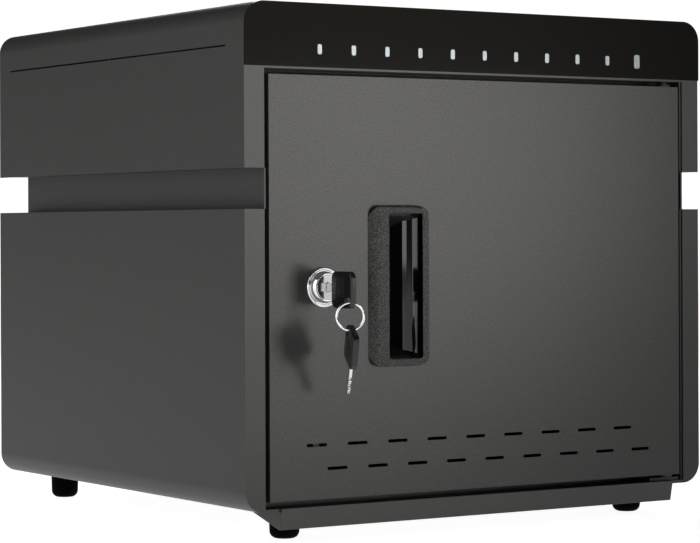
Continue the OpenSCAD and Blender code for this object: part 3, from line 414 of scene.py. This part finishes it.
MATERIALS = {
    "cabinet_steel": powder_coat("cabinet_paint", (0.06, 0.059, 0.056)),
    "bay_steel": powder_coat("bay_paint", (0.06, 0.06, 0.058)),
    "fascia_black": moulded("fascia_film", (0.006, 0.005, 0.004), roughness=0.15, strength=0.01),
    "window_white": lens("window_lens", (0.46, 0.455, 0.44), 0.1),
    "power_white": lens("power_lens", (0.4, 0.39, 0.38), 0.08),
    "board_green": moulded("circuit_board", (0.02, 0.12, 0.05), roughness=0.35),
    "bracket_steel": powder_coat("bracket_paint", (0.01, 0.01, 0.01)),
    "pin_steel": plated("pin_steel", (0.04, 0.04, 0.04), roughness=0.5),
    "supply_case": plated("supply_case", (0.6, 0.6, 0.6), roughness=0.4),
    "black_plastic": moulded("black_plastic", (0.015, 0.015, 0.015)),
    "rocker_black": moulded("rocker_plastic", (0.02, 0.02, 0.02), roughness=0.25, strength=0.05),
    "foot_rubber": moulded("rubber", (0.003, 0.003, 0.003), roughness=0.85, specular=0.05),
    "screw_zinc": plated("screw_zinc", (0.5, 0.5, 0.49)),
    "door_steel": powder_coat("door_paint", (0.062, 0.061, 0.058), spread=0.32, strength=0.6),
    "pull_black": pull_moulding(),
    "bush_nylon": moulded("bush_nylon", (0.02, 0.02, 0.02)),
    "lock_chrome": polished("lock_chrome", (0.8, 0.8, 0.82)),
    "plug_chrome": polished("plug_chrome", (0.7, 0.7, 0.72), roughness=0.12),
    "guide_black": powder_coat("guide_paint", (0.012, 0.012, 0.012)),
    "bar_zinc": plated("bar_zinc", (0.52, 0.52, 0.5)),
    "key_metal": plated("key_nickel", (0.72, 0.71, 0.68), roughness=0.22),
    "key_plastic": moulded("key_plastic", (0.006, 0.006, 0.006), roughness=0.26),
    "ring_chrome": polished("ring_chrome", (0.85, 0.85, 0.86), roughness=0.1),
}


def paint_nodes():
    """Gives each solid its slot's material."""
    for name, obj in frame["nodes"].items():
        obj.data.materials.clear()
        obj.data.materials.append(MATERIALS[SLOT_OF[name]])


# ---- rounded bends and edges --------------------------------------------------------------

SMOOTH_ANGLE = math.radians(35)
ROUNDED = {
    0.55 * MM: ("upper_cover", "lower_cover", "front_sill", "door_panel"),
    0.3 * MM: ("fascia", "left_liner", "right_liner", "door_handle", "lock_plug", "feet", "mains_inlet",
               "switch_frame", "switch_rocker", "port_strip"),
    0.15 * MM: ("key_blade", "spare_blade", "lock_cam", "upper_lock_bar", "lower_lock_bar", "lock_nut",
                "upper_bar_guide", "lower_bar_guide", "cam_screw"),
}


def round_edges(obj, radius):
    """Rolls a solid's sharp edges over a small radius, as bent sheet and mouldings have."""
    normals = obj.data.attributes.get("custom_normal")
    if normals:
        obj.data.attributes.remove(normals)
    obj.data.polygons.foreach_set("use_smooth", [True] * len(obj.data.polygons))
    weld = obj.modifiers.new("weld", "WELD")
    weld.merge_threshold = 0.002 * MM
    flat = obj.modifiers.new("flat", "DECIMATE")
    flat.decimate_type = "DISSOLVE"
    flat.angle_limit = math.radians(0.5)
    roll = obj.modifiers.new("roll", "BEVEL")
    roll.width = radius
    roll.segments = 3
    roll.limit_method = "ANGLE"
    roll.angle_limit = SMOOTH_ANGLE
    roll.harden_normals = True
    roll.miter_outer = "MITER_ARC"
    even = obj.modifiers.new("even", "WEIGHTED_NORMAL")
    even.mode = "FACE_AREA"
    even.weight = 100
    even.keep_sharp = True


def round_all():
    for radius, names in ROUNDED.items():
        for name in names:
            round_edges(frame["nodes"][name], radius)


# ---- turned and swept pieces --------------------------------------------------------------


def mesh_piece(name, mesh, slot, body, *replaced):
    """Puts a mesh in the scene as a piece that moves with a body and stands for CAD nodes."""
    for face in mesh.polygons:
        face.use_smooth = True
    mesh.set_sharp_from_angle(angle=SMOOTH_ANGLE)
    mesh.materials.append(MATERIALS[slot])
    piece = bpy.data.objects.new(name, mesh)
    bpy.context.scene.collection.objects.link(piece)
    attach(piece, body)
    if replaced:
        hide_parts(*replaced)
    return piece


def ring_faces(rows, columns, closed_rows=False):
    """Quads between the rings of a grid of points whose columns run round."""
    faces = []
    for i in range(rows if closed_rows else rows - 1):
        for j in range(columns):
            a, b = i * columns, (i + 1) % rows * columns
            k = (j + 1) % columns
            faces.append((a + j, a + k, b + k, b + j))
    return faces


def turned(build, profile, centre, segments=96, flat=None, closed=True):
    """Adds a profile of (radius, distance along +Y) turned round an axis through centre, as a ring
    when closed. With flat, the turned piece is cut back to that distance either side of the axis."""
    rings = []
    for radius, along in profile:
        for j in range(segments):
            angle = 2 * math.pi * j / segments
            across = radius * math.cos(angle)
            if flat:
                across = max(-flat, min(flat, across))
            place = (centre.x + across, centre.y + along, centre.z + radius * math.sin(angle))
            rings.append(build.verts.new(place))
    for face in ring_faces(len(profile), segments, closed_rows=closed):
        build.faces.new([rings[i] for i in face])


def arc(centre_radius, centre_along, radius, start, end, steps):
    """Profile points on an arc, with angles in degrees from the +radius direction towards +Y."""
    points = []
    for i in range(steps + 1):
        angle = math.radians(start + (end - start) * i / steps)
        points.append((centre_radius + radius * math.cos(angle), centre_along + radius * math.sin(angle)))
    return points


def finish_mesh(build, name):
    bmesh.ops.recalc_face_normals(build, faces=build.faces)
    mesh = bpy.data.meshes.new(name)
    build.to_mesh(mesh)
    build.free()
    return mesh


def lock_housing():
    """The rosette, turned with a bead round its rim and a cone, and its threaded barrel."""
    low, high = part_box("lock_body")
    axis = (low + high) / 2
    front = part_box("door_panel")[0].y
    seat = Vector((axis.x, front, axis.z))
    edge = high.x - axis.x
    proud = low.y - front
    length = high.y - front
    bore = PLUG_FACE_R + PLUG_PLAY
    cone_foot = edge - 2 * BEAD_R + CONE_FOOT_OVERLAP
    cone_top = PLUG_FACE_R + FACE_RIM
    build = bmesh.new()
    profile = [(bore, 0), (edge - BEAD_R, 0)]
    profile += arc(edge - BEAD_R, -BEAD_R, BEAD_R, 90, BEAD_END, 18)
    profile += [(cone_foot, -CONE_FOOT_RISE)]
    profile += arc(cone_top - FACE_FILLET, proud + FACE_FILLET, FACE_FILLET, -30, -90, 5)
    profile += arc(bore + BORE_EDGE, proud + BORE_EDGE, BORE_EDGE, -90, -180, 3)
    turned(build, profile, seat)
    root = BARREL_R - THREAD_DEPTH
    profile = [(BARREL_BORE, 0), (BARREL_R, 0)]
    along = THREAD_START
    while along < length - THREAD_PITCH:
        profile += [(BARREL_R, along), (root, along + THREAD_PITCH / 2)]
        along += THREAD_PITCH
    profile += [(root, length), (BARREL_BORE, length)]
    turned(build, profile, seat, flat=BARREL_FLAT)
    mesh_piece("lock_housing", finish_mesh(build, "lock_housing"), "lock_chrome", "door", "lock_body")


def swept(build, points, section):
    """Adds a tube through points, each with its outward and sideways directions, with a section of
    (outward, sideways) offsets and closed ends."""
    rings = []
    for place, out, side in points:
        rings += [build.verts.new(place + out * u + side * v) for u, v in section]
    count = len(section)
    for face in ring_faces(len(points), count):
        build.faces.new([rings[i] for i in face])
    build.faces.new(rings[:count])
    build.faces.new(rings[-count:])


def split_ring():
    """The key ring: two turns of flattened wire side by side, whose ends step across."""
    low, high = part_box("key_ring")
    centre = (low + high) / 2
    outer = (high.z - low.z) / 2
    mean = outer - RING_WIRE_WIDTH / 2
    turn = math.atan2(high.y - low.y - RING_WIRE_WIDTH, high.x - low.x - RING_WIRE_WIDTH)
    across = Vector((math.cos(turn), -math.sin(turn), 0))
    normal = Vector((math.sin(turn), math.cos(turn), 0))
    up = Vector((0, 0, 1))
    aside = (RING_WIRE_THICK + RING_WIRE_GAP) / 2
    points = []
    for i in range(RING_STEPS + 1):
        share = i / RING_STEPS
        angle = math.radians(RING_END) + 2 * math.pi * RING_TURNS * share
        step = max(-1, min(1, (share - 0.5) * RING_STEP_RATE))
        offset = aside * math.sin(step * math.pi / 2)
        out = across * math.cos(angle) + up * math.sin(angle)
        points.append((centre + out * mean + normal * offset, out, normal))
    section = []
    for j in range(WIRE_SIDES):
        angle = 2 * math.pi * j / WIRE_SIDES
        section.append((RING_WIRE_WIDTH / 2 * math.cos(angle), RING_WIRE_THICK / 2 * math.sin(angle)))
    build = bmesh.new()
    swept(build, points, section)
    mesh_piece("split_ring", finish_mesh(build, "split_ring"), "ring_chrome", "ring", "key_ring")


def solid_difference(mesh, cutter):
    """The mesh with another mesh cut out of it."""
    scene = bpy.context.scene
    target, tool = (bpy.data.objects.new(m.name, m) for m in (mesh, cutter))
    for obj in (target, tool):
        scene.collection.objects.link(obj)
    boolean = target.modifiers.new("cut", "BOOLEAN")
    boolean.operation = "DIFFERENCE"
    boolean.object = tool
    boolean.solver = "EXACT"
    bpy.context.view_layer.update()
    result = bpy.data.meshes.new_from_object(target.evaluated_get(bpy.context.evaluated_depsgraph_get()))
    for obj in (target, tool):
        bpy.data.objects.remove(obj)
    return result


def cross_head_screw(radius, height, shank_radius, shank):
    """A pan-head screw at the origin whose head rises along +Y, with a cross recess."""
    dome = radius * DOME_SHARE
    build = bmesh.new()
    profile = [(POLE_R, -shank), (shank_radius, -shank), (shank_radius, 0), (radius, 0)]
    profile += arc(radius - dome, height - dome, dome, 0, 90, 8)
    profile += [(POLE_R, height)]
    turned(build, profile, Vector((0, 0, 0)), segments=40, closed=False)
    bmesh.ops.remove_doubles(build, verts=build.verts, dist=3 * POLE_R)
    head = finish_mesh(build, "screw_head")
    arm = radius * ARM_SHARE
    wide = radius * ARM_WIDTH_SHARE
    floor = height - height * RECESS_SHARE
    for turn in (0, math.pi / 2):
        cos, sin = math.cos(turn), math.sin(turn)
        build = bmesh.new()
        points = []
        for along, length in ((height * RECESS_TOP_SHARE, arm), (floor, arm * ARM_FOOT_SHARE)):
            for x, z in ((-length, -wide), (length, -wide), (length, wide), (-length, wide)):
                points.append(build.verts.new((x * cos - z * sin, along, x * sin + z * cos)))
        sides = [(i, (i + 1) % 4, (i + 1) % 4 + 4, i + 4) for i in range(4)]
        for face in ((0, 1, 2, 3), (4, 5, 6, 7), *sides):
            build.faces.new([points[i] for i in face])
        head = solid_difference(head, finish_mesh(build, "arm"))
    return head


def rounded_box(centre, half_u, half_v, corner, steps=8):
    """Points of a rectangle with round corners, in order round it, or of a circle where the corner's
    radius is half its width."""
    points = []
    circle = corner >= half_u
    for quarter, (su, sv) in enumerate(((1, 1), (-1, 1), (-1, -1), (1, -1))):
        for i in range(steps if circle else steps + 1):
            angle = math.pi / 2 * (quarter + i / steps)
            points.append((centre[0] + su * (half_u - corner) + corner * math.cos(angle),
                           centre[1] + sv * (half_v - corner) + corner * math.sin(angle)))
    return points


def key_head_mesh(half, thick, slot_low, slot_high):
    """A key's plastic head: a plate with rolled edges, the ring's hole, grooves for the fingers in both
    faces and the slot that holds the blade. X is its thickness, +Y points along the blade. It is built
    in millimetres, which keeps its small faces well above the tolerances of the fill and the cut."""
    build = bmesh.new()
    face_x = thick / 2

    def loop(points, x):
        return [build.verts.new(Vector((x, u, v)) / MM) for u, v in points]

    def wall(rows):
        flat = [vert for row in rows for vert in row]
        for face in ring_faces(len(rows), len(rows[0])):
            build.faces.new([flat[i] for i in face])

    turns = [math.pi / 8 * i for i in range(5)]
    edge = [(HEAD_EDGE * (1 - math.sin(a)), face_x - HEAD_EDGE * (1 - math.cos(a))) for a in turns]
    edge += [(inset, -x) for inset, x in reversed(edge)]
    outer = []
    for inset, x in edge:
        outer.append(loop(rounded_box((0, 0), half - inset, half - inset, HEAD_CORNER - inset), x))
    spot = (HOLE_IN - half, HOLE_IN - half)
    inner = []
    for inset, x in edge:
        reach = HOLE_R + inset / 2
        inner.append(loop(rounded_box(spot, reach, reach, reach), x))
    wall(outer)
    wall(inner)
    for side, row in ((1, 0), (-1, -1)):
        rims = [outer[row], inner[row]]
        for i in range(GROOVES):
            middle = (GROOVE_FIRST - GROOVE_PITCH * i, GROOVE_MIDDLE)
            wide, long, corner = GROOVE_HALF_WIDTH, GROOVE_HALF_LENGTH, GROOVE_CORNER
            rim = loop(rounded_box(middle, wide, long, corner, 3), side * face_x)
            wide, long, corner = wide - GROOVE_DRAFT, long - GROOVE_END_DRAFT, corner - GROOVE_DRAFT
            floor = loop(rounded_box(middle, wide, long, corner, 3), side * (face_x - GROOVE_DEPTH))
            wall([rim, floor])
            build.faces.new(floor)
            rims.append(rim)
        pairs = [pair for rim in rims for pair in zip(rim, rim[1:] + rim[:1])]
        edges = [build.edges.get(pair) for pair in pairs]
        bmesh.ops.triangle_fill(build, use_beauty=True, edges=edges, normal=(side, 0, 0))
    head = finish_mesh(build, "head")
    build = bmesh.new()
    bmesh.ops.create_cube(build, size=1)
    for vert in build.verts:
        for i in range(3):
            vert.co[i] = (slot_high[i] if vert.co[i] > 0 else slot_low[i]) / MM
    mesh = solid_difference(head, finish_mesh(build, "blade_slot"))
    mesh.transform(Matrix.Scale(MM, 4))
    return mesh


def key_heads():
    """The plastic heads of the key in the lock and of the spare key."""
    low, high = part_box("key_head")
    blade_low, blade_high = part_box("key_blade")
    middle = (low + high) / 2
    past_end = Vector((BLADE_PLAY, 1 * MM, BLADE_PLAY))
    slot_low = blade_low - Vector((BLADE_PLAY, 0, BLADE_PLAY)) - middle
    slot_high = Vector((blade_high.x, high.y, blade_high.z)) + past_end - middle
    spare_middle = sum(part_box("spare_head"), Vector()) / 2
    upright = (Vector((1, 0, 0)), Vector((0, 1, 0)), Vector((0, 0, 1)))
    thick = Vector((math.cos(SPARE_TURN), -math.sin(SPARE_TURN), 0))
    forward = Vector((math.sin(SPARE_TURN), math.cos(SPARE_TURN), 0))
    down = Vector((0, 0, -1))
    spare = (thick,
             forward * math.sin(SPARE_TILT) + down * math.cos(SPARE_TILT),
             down * math.sin(SPARE_TILT) - forward * math.cos(SPARE_TILT))
    for name, node, body, axes, place in (("key_grip", "key_head", "key", upright, middle),
                                          ("spare_grip", "spare_head", "spare", spare, spare_middle)):
        mesh = key_head_mesh((high.z - low.z) / 2, high.x - low.x, slot_low, slot_high)
        to_frame = Matrix(axes).transposed()
        mesh.transform(Matrix.Translation(place) @ to_frame.to_4x4())
        if to_frame.determinant() < 0:
            mesh.flip_normals()
        piece = mesh_piece(name, mesh, "key_plastic", body, node)
        for face in piece.data.polygons:
            face.use_smooth = abs(face.normal.dot(axes[0])) < 0.999


def islands_of(node):
    """The boxes of a node's separate solids, as (lowest, highest) corners."""
    mesh = frame["nodes"][node].data
    build = bmesh.new()
    build.from_mesh(mesh)
    bmesh.ops.remove_doubles(build, verts=build.verts, dist=0.001 * MM)
    left = set(build.verts)
    boxes = []
    while left:
        stack = [left.pop()]
        found = []
        while stack:
            vert = stack.pop()
            found.append(vert.co.copy())
            for edge in vert.link_edges:
                other = edge.other_vert(vert)
                if other in left:
                    left.remove(other)
                    stack.append(other)
        boxes.append(tuple(Vector([f(c[i] for c in found) for i in range(3)]) for f in (min, max)))
    build.free()
    return boxes


def screws(name, node, slot, body, head_height, shank_radius):
    """Cross-head screws in the place of a node's plain ones, which all point to +Y."""
    build = bmesh.new()
    made = None
    for low, high in islands_of(node):
        middle = (low + high) / 2
        if not made:
            radius = (high.x - low.x) / 2
            made = cross_head_screw(radius, head_height, shank_radius, high.y - low.y - head_height)
        start = len(build.verts)
        build.from_mesh(made)
        build.verts.ensure_lookup_table()
        for vert in build.verts[start:]:
            vert.co += Vector((middle.x, high.y - head_height, middle.z))
    mesh_piece(name, finish_mesh(build, name), slot, body, node)


# ---- the scene ----------------------------------------------------------------------------

make_camera()
make_world()
make_floor()
make_backdrop()
make_lights()
make_cards()
paint_nodes()
round_all()
lock_housing()
split_ring()
key_heads()
screws("rear_cross_screws", "rear_screws", "screw_zinc", "cabinet", REAR_HEAD_H, SHANK_R)
screws("inlet_cross_screws", "inlet_screws", "screw_zinc", "cabinet", INLET_HEAD_H, SHANK_R)
